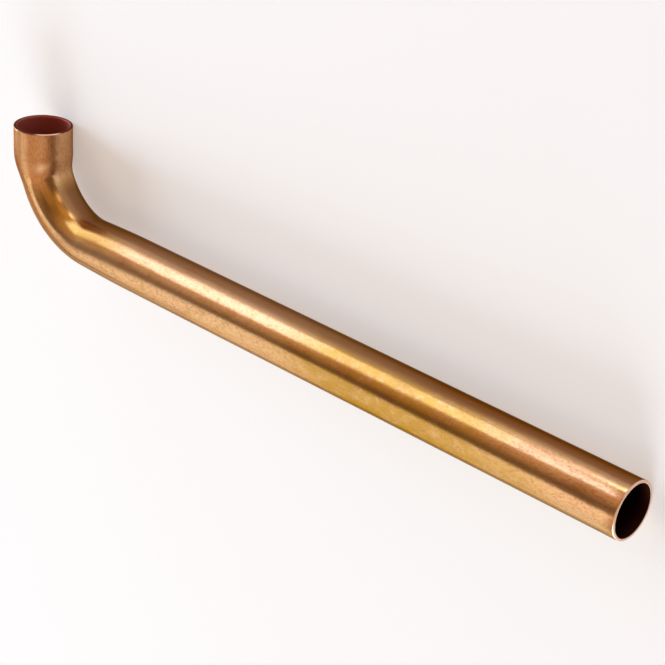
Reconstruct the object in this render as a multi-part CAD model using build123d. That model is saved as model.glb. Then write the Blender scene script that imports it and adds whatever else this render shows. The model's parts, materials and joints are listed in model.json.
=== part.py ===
from build123d import *
import os

# Drawn copper street elbow, in millimetres.
# It is one piece of tube: a socket at one end, a bend of a quarter turn, and a long plain tail.
# The origin is the centre of the socket mouth. The socket opens toward +Y, the tail runs toward +X,
# and the elbow lies flat with +Z up.

# Tube
tube_od = 22.225
tube_wall = 1.14

# Centreline: a short straight leg, the bend, and the tail
bend_radius = 1.5 * tube_od
straight_leg = 9.0
tail_reach = 304.8

# Socket, expanded so that a plain tube of the same size slides in
socket_clearance = 0.05
full_bore_length = 12.0
shoulder_length = 12.0

# Bend section: squeezed in the plane of the bend, and thinner along its outside
bend_flattening = 0.10
wall_shift = 0.12
round_again_before = 15.0
round_again_length = 40.0

# Finish of the two mouths
outer_edge_bevel = 0.30
inner_edge_bevel = 0.20

# Spacing of the sections that the walls of the bend pass through
section_spacing = 4.0
straight_margin = 4.0

# Sizes that follow from those above
tube_radius = tube_od / 2
socket_bore_radius = tube_radius + socket_clearance
socket_radius = socket_bore_radius + tube_wall
flattened_radius = tube_radius * (1 - bend_flattening)


def make_centreline():
    """Straight leg down from the socket mouth, a quarter-turn arc, and the straight tail."""
    leg = Line((0, 0), (0, -straight_leg))
    bend = JernArc(start=leg @ 1, tangent=leg % 1, radius=bend_radius, arc_size=90)
    tail = Line(bend @ 1, (tail_reach, (bend @ 1).Y))
    return Wire([leg, bend, tail]), straight_leg + bend.length


centreline, bend_end = make_centreline()
total_length = centreline.length
rounding_start = bend_end - round_again_before
rounding_end = rounding_start + round_again_length


def soft_step(distance, start, length):
    """Rises from 0 to 1 over the given length, level at both ends."""
    part = min(max((distance - start) / length, 0.0), 1.0)
    return part * part * (3 - 2 * part)


def mix(first, second, share):
    """Value that lies the given share of the way from the first to the second."""
    return first + (second - first) * share


def flattening_share(distance):
    """0 where the section is round, 1 where the bend is flattened most."""
    pressed = soft_step(distance, full_bore_length, shoulder_length)
    released = soft_step(distance, rounding_start, round_again_length)
    return pressed * (1 - released)


def section_plane(distance):
    """Plane square to the centreline, with its x axis up and its y axis toward the bend's outside."""
    centre = centreline.position_at(distance, position_mode=PositionMode.LENGTH)
    heading = centreline.tangent_at(distance, position_mode=PositionMode.LENGTH)
    return Plane(origin=centre, x_dir=(0, 0, 1), z_dir=heading)


def section(distance, inset=0.0, shift=0.0):
    """Oval across the centreline, drawn in by the inset and shifted toward the outside of the bend."""
    shoulder = soft_step(distance, full_bore_length, shoulder_length)
    share = flattening_share(distance)
    upright = mix(socket_radius, tube_radius, shoulder) - inset
    level = mix(socket_radius, mix(tube_radius, flattened_radius, share), shoulder) - inset
    plane = section_plane(distance)
    plane.origin += plane.y_dir * shift * share
    return plane * Ellipse(upright, level)


def straight_piece(radius, start, end):
    """Cylinder along a straight stretch of the centreline."""
    return extrude(section_plane(start) * Circle(radius), amount=end - start)


def bent_piece(inset=0.0, shift=0.0):
    """Loft from the end of the straight leg, round the bend, to where the tail is round again."""
    start = straight_leg
    end = rounding_end + straight_margin
    count = round((end - start) / section_spacing)
    stations = [mix(start, end, number / count) for number in range(count + 1)]
    return loft([section(station, inset, shift) for station in stations])


def make_outside():
    """Solid form of the elbow's outer surface."""
    socket = straight_piece(socket_radius, 0, straight_leg)
    tail = straight_piece(tube_radius, rounding_end + straight_margin, total_length)
    return socket + bent_piece() + tail


def make_waterway():
    """The space inside the tube."""
    bore = straight_piece(socket_bore_radius, 0, straight_leg)
    tail = straight_piece(tube_radius - tube_wall, rounding_end + straight_margin, total_length)
    return bore + bent_piece(inset=tube_wall, shift=wall_shift) + tail


def edges_of_mouth(tube, axis):
    """Edges of the flat rim that lies furthest along the axis, the inner edge first."""
    return tube.faces().sort_by(axis)[-1].edges().sort_by(SortBy.LENGTH)


def finish_mouths(tube):
    """Breaks the outer edge of both mouths, and the inner edge of the cut end."""
    tube = chamfer(edges_of_mouth(tube, Axis.Y)[-1], outer_edge_bevel)
    tube = chamfer(edges_of_mouth(tube, Axis.X)[-1], outer_edge_bevel)
    return chamfer(edges_of_mouth(tube, Axis.X)[0], inner_edge_bevel)


street_elbow = finish_mouths(make_outside() - make_waterway())

os.makedirs("parts", exist_ok=True)
export_step(street_elbow, "parts/street_elbow.step")
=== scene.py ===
import json
import math

import bpy
import numpy as np
from mathutils import Matrix, Vector


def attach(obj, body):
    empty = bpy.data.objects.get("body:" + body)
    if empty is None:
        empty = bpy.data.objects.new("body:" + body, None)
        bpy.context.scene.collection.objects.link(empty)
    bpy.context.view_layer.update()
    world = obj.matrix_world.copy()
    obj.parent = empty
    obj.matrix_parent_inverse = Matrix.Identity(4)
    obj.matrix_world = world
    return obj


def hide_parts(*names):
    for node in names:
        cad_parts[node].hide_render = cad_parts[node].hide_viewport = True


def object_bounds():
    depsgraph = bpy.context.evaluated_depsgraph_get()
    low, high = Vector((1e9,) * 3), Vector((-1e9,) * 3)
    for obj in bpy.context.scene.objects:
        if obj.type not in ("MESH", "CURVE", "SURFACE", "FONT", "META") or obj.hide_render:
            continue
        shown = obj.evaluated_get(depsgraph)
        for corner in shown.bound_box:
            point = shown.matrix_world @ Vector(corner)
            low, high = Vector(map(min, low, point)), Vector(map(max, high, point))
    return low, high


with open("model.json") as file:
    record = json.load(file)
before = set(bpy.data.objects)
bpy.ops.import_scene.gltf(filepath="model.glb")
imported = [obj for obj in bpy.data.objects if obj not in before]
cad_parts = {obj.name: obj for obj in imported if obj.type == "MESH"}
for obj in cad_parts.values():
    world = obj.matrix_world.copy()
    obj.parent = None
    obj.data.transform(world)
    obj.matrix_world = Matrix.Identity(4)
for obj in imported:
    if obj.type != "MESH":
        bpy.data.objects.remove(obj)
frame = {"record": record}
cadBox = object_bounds()
print("loaded the frame")

# sizes come from the frame's two mounts and its box, in metres
mounts = {mount["name"]: mount for mount in frame["record"]["mounts"]}
tubeRadius = mounts["tail"]["dims"]["r_mm"] / 1000
boreRadius = mounts["socket"]["dims"]["r_mm"] / 1000
straightLeg = mounts["socket"]["dims"]["length_mm"] / 1000
tailDrop = -mounts["tail"]["pos_m"][1]
tailEnd = cadBox[1][0]
floorHeight = cadBox[0][2]

elbow = {
    "wall": 0.00114,
    "bendRadius": tailDrop - straightLeg,
    "fullBoreLength": 0.012,
    "shoulderLength": 0.012,
    "flattening": 0.10,
    "wallShift": 0.00012,
    "roundAgainBefore": 0.015,
    "roundAgainLength": 0.040,
    "lipRound": 0.00032,
    "cutRound": 0.00060,
    "cutBevel": 0.00020,
    "columns": 160,
}

camera = {
    "aim": (0.16825, -0.03057, 0.0),
    "distance": 0.66620,
    "azimuth": 37.485,
    "elevation": 42.317,
    "roll": 112.903,
    "lens": 97.543,
}


def softStep(x, start, length):
    # 0 before start, 1 after start + length, and 3t^2 - 2t^3 between them
    t = np.clip((x - start) / length, 0, 1)
    return t * t * (3 - 2 * t)


def centreLine(s):
    # distance s along the tube -> centre point and sideways vector toward the bend's outside:
    # straight down the leg, round a quarter circle, then straight along the tail
    leg, bend = straightLeg, elbow["bendRadius"]
    turn = np.clip((s - leg) / bend, 0, math.pi / 2)
    onTail = np.maximum(s - leg - bend * math.pi / 2, 0)
    x = bend * (1 - np.cos(turn)) + onTail
    y = -np.minimum(s, leg) - bend * np.sin(turn)
    centre = np.stack([x, y, np.zeros_like(s)], axis=-1)
    outside = np.stack([-np.cos(turn), -np.sin(turn), np.zeros_like(s)], axis=-1)
    return centre, outside


def tubeGrid(s, inset, angle):
    # rows of ovals across the centre line: upright half-height along Z, level half-width across the bend,
    # both drawn in by the inset, with the inner wall shifted outward where the bend is flattened
    shoulder = softStep(s, elbow["fullBoreLength"], elbow["shoulderLength"])
    bendEnd = straightLeg + elbow["bendRadius"] * math.pi / 2
    released = softStep(s, bendEnd - elbow["roundAgainBefore"], elbow["roundAgainLength"])
    pressed = shoulder * (1 - released)
    socketRadius = boreRadius + elbow["wall"]
    upright = socketRadius + (tubeRadius - socketRadius) * shoulder - inset
    level = upright - tubeRadius * elbow["flattening"] * pressed
    centre, outside = centreLine(s)
    centre = centre + outside * (elbow["wallShift"] * pressed * inset / elbow["wall"])[:, None]
    rise = upright[:, None] * np.cos(angle)
    reach = level[:, None] * np.sin(angle)
    points = centre[:, None] + outside[:, None] * reach[..., None]
    points[..., 2] += rise
    return points


def mouthProfile(wall, outerRound, innerBevel):
    # from the outer wall round the rim to the inner wall: distance back from the mouth, and inset
    a = np.linspace(0, math.pi / 2, 7)
    back = list(outerRound * (1 - np.sin(a)))
    inset = list(outerRound * (1 - np.cos(a)))
    flat = np.linspace(outerRound, wall - innerBevel, 5)[1:]
    back += list(np.zeros(4)) + [innerBevel]
    inset += list(flat) + [wall]
    return np.array(back), np.array(inset)


def buildTube():
    # one closed loop of rows: outer wall to the tail's rim, back along the inner wall, and over the socket's lip
    total = straightLeg + elbow["bendRadius"] * (math.pi / 2 - 1) + tailEnd
    wall = elbow["wall"]
    lip, cut = elbow["lipRound"], elbow["cutRound"]
    near = np.arange(lip, 0.110, 0.0006)
    far = np.linspace(0.110, total - cut, 60)[:-1]
    outerRows = np.concatenate([near, far])
    tailBack, tailInset = mouthProfile(wall, cut, elbow["cutBevel"])
    innerRows = np.concatenate([np.linspace(total - elbow["cutBevel"], 0.110, 50)[1:], np.arange(0.109, 0.0004, -0.0012)])
    lipBack, lipInset = mouthProfile(wall, lip, 0.0)
    s = np.concatenate([outerRows, total - tailBack, innerRows, lipBack[::-1][1:-1]])
    inset = np.concatenate([np.zeros(len(outerRows)), tailInset, np.full(len(innerRows), wall), lipInset[::-1][1:-1]])
    columns = elbow["columns"]
    angle = np.arange(columns) * 2 * math.pi / columns
    points = tubeGrid(s, inset, angle)
    rows = len(s)
    r, c = np.meshgrid(np.arange(rows), np.arange(columns), indexing="ij")
    nextR, nextC = (r + 1) % rows, (c + 1) % columns
    quads = np.stack([r * columns + c, nextR * columns + c, nextR * columns + nextC, r * columns + nextC], axis=-1)
    mesh = bpy.data.meshes.new("copperElbow")
    mesh.from_pydata(points.reshape(-1, 3).tolist(), [], quads.reshape(-1, 4).tolist())
    mesh.polygons.foreach_set("use_smooth", np.ones(rows * columns, dtype=bool))
    # the drawn attribute unrolls the tube: x along it, y and z round it, so lines follow the bend
    drawn = np.empty((rows, columns, 3), dtype=np.float32)
    drawn[..., 0] = s[:, None]
    drawn[..., 1] = tubeRadius * np.cos(angle)
    drawn[..., 2] = tubeRadius * np.sin(angle)
    mesh.attributes.new("drawn", "FLOAT_VECTOR", "POINT").data.foreach_set("vector", drawn.ravel())
    inner = np.repeat((inset / wall).astype(np.float32), columns)
    mesh.attributes.new("innerWall", "FLOAT", "POINT").data.foreach_set("value", inner)
    mesh.update()
    piece = bpy.data.objects.new("copperElbow", mesh)
    bpy.context.scene.collection.objects.link(piece)
    return piece


copper = {
    "rosy": (0.80, 0.50, 0.26, 1),
    "golden": (0.58, 0.345, 0.075, 1),
    "tarnished": (0.46, 0.20, 0.085, 1),
    # painted shade: the brown of the streak along the side the bend turns toward
    "shadeStreak": (0.27, 0.13, 0.075, 1),
    # painted shade: the dark brown on that side toward the cut end
    "endShade": (0.25, 0.10, 0.04, 1),
    # directions round the tube, over its radius: the streak of painted shade, the side painted darker toward the cut
    # end, the part of the socket's lip with a painted highlight, the bend's inside
    "shadeStreakSide": (0.0, -0.208 / tubeRadius, -0.978 / tubeRadius),
    "endShadeSide": (0.0, -0.087 / tubeRadius, -0.996 / tubeRadius),
    "lipHighlightSide": (0.0, 0.487 / tubeRadius, -0.872 / tubeRadius),
    "innerSide": (0.0, 0.0, -1.0 / tubeRadius),
    "cutEdge": (0.90, 0.66, 0.52, 1),
    # painted shade: the socket's lip painted near black brown, for the dark it reflects
    "socketLipShade": (0.14, 0.05, 0.04, 1),
    "socketBore": (0.52, 0.15, 0.11, 1),
    # painted shade: near black for the bore deeper in
    "deepBoreShade": (0.03, 0.008, 0.005, 1),
    "edgeTint": (0.40, 0.32, 0.28, 1),
    "socketEnd": 0.0215,
}


class Wiring:
    # short hands for adding and joining nodes of one material
    def __init__(self, tree):
        self.nodes, self.links = tree.nodes, tree.links

    def put(self, socket, value):
        # a socket of another node is linked, anything else is set
        if isinstance(value, bpy.types.NodeSocket):
            self.links.new(value, socket)
        else:
            socket.default_value = value

    def math(self, operation, first, second=0.0, clamp=False):
        node = self.nodes.new("ShaderNodeMath")
        node.operation, node.use_clamp = operation, clamp
        self.put(node.inputs[0], first)
        self.put(node.inputs[1], second)
        return node.outputs[0]

    def ramp(self, value, low, high, toLow=0.0, toHigh=1.0):
        # toLow below low, toHigh above high, and a soft step between them
        node = self.nodes.new("ShaderNodeMapRange")
        node.interpolation_type = "SMOOTHSTEP"
        for socket, given in zip(node.inputs, (value, low, high, toLow, toHigh)):
            self.put(socket, given)
        return node.outputs[0]

    def stretched(self, vector, scale):
        node = self.nodes.new("ShaderNodeVectorMath")
        node.operation = "MULTIPLY"
        self.put(node.inputs[0], vector)
        self.put(node.inputs[1], scale)
        return node.outputs[0]

    def nearness(self, vector, direction):
        # dot product, so 1 on the line that the direction names and less away from it
        node = self.nodes.new("ShaderNodeVectorMath")
        node.operation = "DOT_PRODUCT"
        self.put(node.inputs[0], vector)
        self.put(node.inputs[1], direction)
        return node.outputs["Value"]

    def noise(self, vector, scale, detail=2.0, roughness=0.5):
        node = self.nodes.new("ShaderNodeTexNoise")
        self.put(node.inputs["Vector"], self.stretched(vector, scale))
        node.inputs["Scale"].default_value = 1.0
        node.inputs["Detail"].default_value = detail
        node.inputs["Roughness"].default_value = roughness
        return node.outputs["Fac"]

    def blend(self, share, first, second, kind="MIX"):
        node = self.nodes.new("ShaderNodeMix")
        node.data_type, node.blend_type = "RGBA", kind
        self.put(node.inputs["Factor"], share)
        self.put(node.inputs[6], first)
        self.put(node.inputs[7], second)
        return node.outputs[2]


def copperMaterial():
    material = bpy.data.materials.new("drawnCopper")
    material.use_nodes = True
    wiring = Wiring(material.node_tree)
    nodes = wiring.nodes
    shader = nodes["Principled BSDF"]
    drawn = nodes.new("ShaderNodeAttribute")
    drawn.attribute_name = "drawn"
    place = drawn.outputs["Vector"]
    split = nodes.new("ShaderNodeSeparateXYZ")
    wiring.put(split.inputs[0], place)
    along = split.outputs[0]
    depth = nodes.new("ShaderNodeAttribute")
    depth.attribute_name = "innerWall"
    inward = depth.outputs["Fac"]

    # fine lines along the tube, broad blotches and small clouds, each a noise stretched its own way
    lines = wiring.noise(place, (9, 2600, 2600), 3.0, 0.6)
    bands = wiring.noise(place, (5, 420, 420), 3.0, 0.6)
    blotches = wiring.noise(place, (26, 95, 95), 4.0, 0.6)
    clouds = wiring.noise(place, (170, 260, 260), 3.0, 0.6)
    grain = wiring.noise(place, (700, 1500, 1500), 3.0, 0.7)
    inSocket = wiring.ramp(along, copper["socketEnd"] - 0.004, copper["socketEnd"] + 0.002, 1.0, 0.0)

    # colour: rosy copper, golden along one stretch of the tail, tarnished in blotches
    waver = wiring.math("MULTIPLY", wiring.math("SUBTRACT", blotches, 0.5), 0.10)
    shifted = wiring.math("ADD", along, waver)
    golden = wiring.math("MULTIPLY", wiring.ramp(shifted, 0.145, 0.215), wiring.ramp(shifted, 0.250, 0.325, 1.0, 0.0))
    golden = wiring.math("MULTIPLY", golden, wiring.ramp(clouds, 0.30, 0.56, 0.55, 1.0))
    golden = wiring.math("MAXIMUM", golden, wiring.math("MULTIPLY", wiring.ramp(clouds, 0.52, 0.70), 0.45))
    bent = wiring.math("MULTIPLY", wiring.ramp(along, 0.022, 0.034), wiring.ramp(along, 0.070, 0.100, 0.9, 0.0))
    bent = wiring.math("MULTIPLY", bent, wiring.ramp(wiring.nearness(place, copper["innerSide"]), 0.25, 0.65))
    golden = wiring.math("MAXIMUM", golden, bent)
    colour = wiring.blend(golden, copper["rosy"], copper["golden"])
    tarnish = wiring.math("MULTIPLY", wiring.ramp(blotches, 0.50, 0.72), 0.40)
    tarnish = wiring.math("ADD", tarnish, wiring.math("MULTIPLY", wiring.ramp(bands, 0.55, 0.80), 0.35))
    tarnish = wiring.math("ADD", tarnish, wiring.math("MULTIPLY", wiring.ramp(grain, 0.46, 0.70), 0.45))
    tarnish = wiring.math("ADD", tarnish, wiring.math("MULTIPLY", inSocket, 0.32), True)
    colour = wiring.blend(tarnish, colour, copper["tarnished"])
    # painted shade: a dark reflection painted as a brown streak along the side that the bend turns toward; it fades
    # before the cut end
    uneven = wiring.math("MULTIPLY", bands, 0.16)
    shadeStreak = wiring.ramp(wiring.math("ADD", wiring.nearness(place, copper["shadeStreakSide"]), uneven), 0.76, 1.0)
    shadeStreak = wiring.math("MULTIPLY", shadeStreak, wiring.ramp(shifted, 0.240, 0.300, 0.8, 0.1))
    shadeStreak = wiring.math("MULTIPLY", shadeStreak, wiring.ramp(along, 0.024, 0.034))
    colour = wiring.blend(shadeStreak, colour, copper["shadeStreak"])
    # toward the cut end the same side gets more painted shade, a dark brown over a narrower width
    endShade = wiring.ramp(wiring.math("ADD", wiring.nearness(place, copper["endShadeSide"]), uneven), 0.92, 1.06)
    endShade = wiring.math("MULTIPLY", endShade, wiring.ramp(shifted, 0.195, 0.275, 0.12, 0.95))
    colour = wiring.blend(endShade, colour, copper["endShade"])
    # the socket's lip is painted shade, with a painted highlight in the pale cut-edge colour on one part of its
    # round; the tail's cut rim takes that pale colour all round, as cut copper
    cutRimAndLipHighlight = wiring.ramp(wiring.nearness(place, copper["lipHighlightSide"]), 0.86, 0.96)
    cutRimAndLipHighlight = wiring.math("MAXIMUM", cutRimAndLipHighlight, wiring.ramp(along, 0.01, 0.02))
    lip = wiring.blend(cutRimAndLipHighlight, copper["socketLipShade"], copper["cutEdge"])
    onRim = wiring.ramp(inward, 0.005, 0.10)
    colour = wiring.blend(onRim, colour, lip)
    # inside the bore: reddish-brown oxide near the socket's mouth, and deeper in painted shade down to near black,
    # which fills the tail's bore too
    bore = wiring.blend(wiring.ramp(along, 0.012, 0.030), copper["socketBore"], copper["deepBoreShade"])
    inside = wiring.ramp(inward, 0.90, 0.99)
    colour = wiring.blend(inside, colour, bore)
    wiring.put(shader.inputs["Base Color"], colour)

    rough = wiring.math("ADD", 0.08, wiring.math("MULTIPLY", bands, 0.08))
    rough = wiring.math("ADD", rough, wiring.math("MULTIPLY", clouds, 0.06))
    rough = wiring.math("ADD", rough, wiring.math("MULTIPLY", inSocket, 0.14))
    rough = wiring.math("ADD", rough, wiring.math("MULTIPLY", onRim, 0.45))
    rough = wiring.math("ADD", rough, wiring.math("MULTIPLY", grain, 0.10))
    rough = wiring.math("ADD", rough, wiring.math("MULTIPLY", inside, -0.05))
    wiring.put(shader.inputs["Roughness"], rough)
    shader.inputs["Metallic"].default_value = 1.0
    shader.inputs["Specular Tint"].default_value = copper["edgeTint"]

    # relief of the draw lines
    bump = nodes.new("ShaderNodeBump")
    bump.inputs["Strength"].default_value = 0.35
    bump.inputs["Distance"].default_value = 0.0001
    wiring.put(bump.inputs["Height"], wiring.math("ADD", clouds, wiring.math("MULTIPLY", lines, 0.15)))
    wiring.put(shader.inputs["Normal"], bump.outputs[0])
    return material


def setUpCamera():
    azimuth, elevation, roll = (math.radians(camera[key]) for key in ("azimuth", "elevation", "roll"))
    outward = Vector((math.cos(elevation) * math.cos(azimuth), math.cos(elevation) * math.sin(azimuth), math.sin(elevation)))
    level = outward.cross(Vector((0, 0, -1))).normalized()
    upright = level.cross(-outward)
    up = upright * math.cos(roll) + level * math.sin(roll)
    right = up.cross(outward)
    data = bpy.data.cameras.new("photoCamera")
    data.lens = camera["lens"]
    data.sensor_width = 36
    data.clip_end = 20
    viewer = bpy.data.objects.new("photoCamera", data)
    place = Matrix((right, up, outward)).transposed().to_4x4()
    place.translation = Vector(camera["aim"]) + outward * camera["distance"]
    viewer.matrix_world = place
    bpy.context.scene.collection.objects.link(viewer)
    bpy.context.scene.camera = viewer


studio = {
    "floorSize": 6.0,
    "floorColour": (0.94, 0.94, 0.94, 1),
    "floorWhite": 0.35,
    "worldColour": (1.0, 0.60, 0.33, 1),
    "worldStrength": 0.19,
    # pale band along the horizon, so that the floor meets a pale backdrop: colour, strength, and its two heights
    "horizonColour": (1.0, 0.975, 0.96, 1),
    "horizonStrength": 0.92,
    "horizonHeights": (0.032, 0.046),
    # paler parts of the room: direction, where each begins and is full (as a cosine), added strength
    "paleWalls": (
        ((-0.52, 0.742, 0.423), 0.66, 1.0, 0.50),
        ((0.35, -0.55, 0.76), 0.56, 0.85, 0.48),
        ((0.306, 0.942, 0.139), 0.83, 0.985, 0.50),
        ((-0.956, -0.256, 0.139), 0.85, 0.966, 0.60),
        ((0.430, 0.478, 0.766), 0.90, 0.985, 0.32),
    ),
    "middle": (0.16, -0.03, 0.0),
    # name: direction from the middle, direction of its long side, distance, length, width, radiance, colour
    "lamps": {
        "longBox": ((-0.57, -0.64, 0.517), (0.0, 0.643, 0.766), 3.0, 4.1, 1.45, 0.95, (1.0, 1.02, 1.0)),
        "stripBox": ((-0.61, 0.72, 0.34), (0.76, 0.64, 0.0), 3.0, 1.60, 1.65, 1.50, (0.82, 1.08, 1.50)),
        "goldBox": ((0.462, 0.870, 0.174), (1.0, 0.0, 0.0), 2.0, 0.50, 0.40, 1.6, (1.0, 0.95, 0.90)),
        "endBox": ((-0.245, 0.967, 0.070), (1.0, 0.25, 0.0), 2.0, 0.60, 0.24, 3.5, (0.95, 0.98, 1.10)),
        "keyBox": ((0.197, -0.925, 0.352), (1.0, 0.21, 0.0), 4.6, 3.3, 2.6, 6.3, (0.86, 1.14, 1.38)),
        "fillBox": ((-0.957, 0.084, 0.276), (0.087, 1.0, 0.0), 4.0, 2.1, 1.9, 10.5, (0.86, 1.14, 1.38)),
    },
}


def setUpStudio():
    mesh = bpy.data.meshes.new("floor")
    size = studio["floorSize"]
    corners = [(x * size, y * size, floorHeight) for x, y in ((-1, -1), (1, -1), (1, 1), (-1, 1))]
    mesh.from_pydata(corners, [], [(0, 1, 2, 3)])
    floor = bpy.data.objects.new("floor", mesh)
    bpy.context.scene.collection.objects.link(floor)
    paint = bpy.data.materials.new("paleFloor")
    paint.use_nodes = True
    shader = paint.node_tree.nodes["Principled BSDF"]
    shader.inputs["Base Color"].default_value = studio["floorColour"]
    shader.inputs["Roughness"].default_value = 0.9
    shader.inputs["Specular IOR Level"].default_value = 0.0
    # what the camera and the metal see of the floor is partly plain white, so the shadow stays light
    wiring = Wiring(paint.node_tree)
    rays = wiring.nodes.new("ShaderNodeLightPath").outputs
    seen = wiring.math("MAXIMUM", rays["Is Camera Ray"], rays["Is Glossy Ray"])
    seen = wiring.math("MAXIMUM", seen, rays["Is Transmission Ray"])
    mixed = wiring.nodes.new("ShaderNodeMixShader")
    wiring.put(mixed.inputs[0], wiring.math("MULTIPLY", seen, studio["floorWhite"]))
    wiring.links.new(shader.outputs[0], mixed.inputs[1])
    wiring.links.new(wiring.nodes.new("ShaderNodeEmission").outputs[0], mixed.inputs[2])
    wiring.links.new(mixed.outputs[0], wiring.nodes["Material Output"].inputs[0])
    mesh.materials.append(paint)
    world = bpy.data.worlds.new("studio")
    bpy.context.scene.world = world
    world.use_nodes = True
    wiring = Wiring(world.node_tree)
    background = wiring.nodes["Background"]
    direction = wiring.nodes.new("ShaderNodeTexCoord").outputs["Generated"]
    above = wiring.ramp(wiring.nearness(direction, (0.0, 0.0, 1.0)), *studio["horizonHeights"])
    colour = wiring.blend(above, studio["horizonColour"], studio["worldColour"])
    wiring.put(background.inputs["Color"], colour)
    strength = studio["worldStrength"]
    for toward, begins, full, added in studio["paleWalls"]:
        paler = wiring.ramp(wiring.nearness(direction, toward), begins, full, 0.0, added)
        strength = wiring.math("ADD", strength, paler)
    band = wiring.math("MULTIPLY", wiring.math("SUBTRACT", 1.0, above), studio["horizonStrength"])
    strength = wiring.math("ADD", wiring.math("MULTIPLY", strength, above), band)
    wiring.put(background.inputs["Strength"], strength)
    for name, (direction, longSide, distance, length, width, radiance, colour) in studio["lamps"].items():
        data = bpy.data.lights.new(name, "AREA")
        data.shape = "RECTANGLE"
        data.size, data.size_y = length, width
        data.energy = radiance * math.pi * length * width
        data.color = colour
        lamp = bpy.data.objects.new(name, data)
        outward = Vector(direction).normalized()
        shortSide = outward.cross(Vector(longSide)).normalized()
        place = Matrix((shortSide.cross(outward), shortSide, outward)).transposed().to_4x4()
        place.translation = Vector(studio["middle"]) + outward * distance
        lamp.matrix_world = place
        lamp.visible_camera = False
        bpy.context.scene.collection.objects.link(lamp)
    bpy.context.scene.view_settings.view_transform = "Standard"


setUpCamera()
setUpStudio()
print("camera and studio are in place")

tube = buildTube()
tube.data.materials.append(copperMaterial())
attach(tube, "root")
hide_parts("street_elbow")
print("elbow built:", len(tube.data.polygons), "faces")
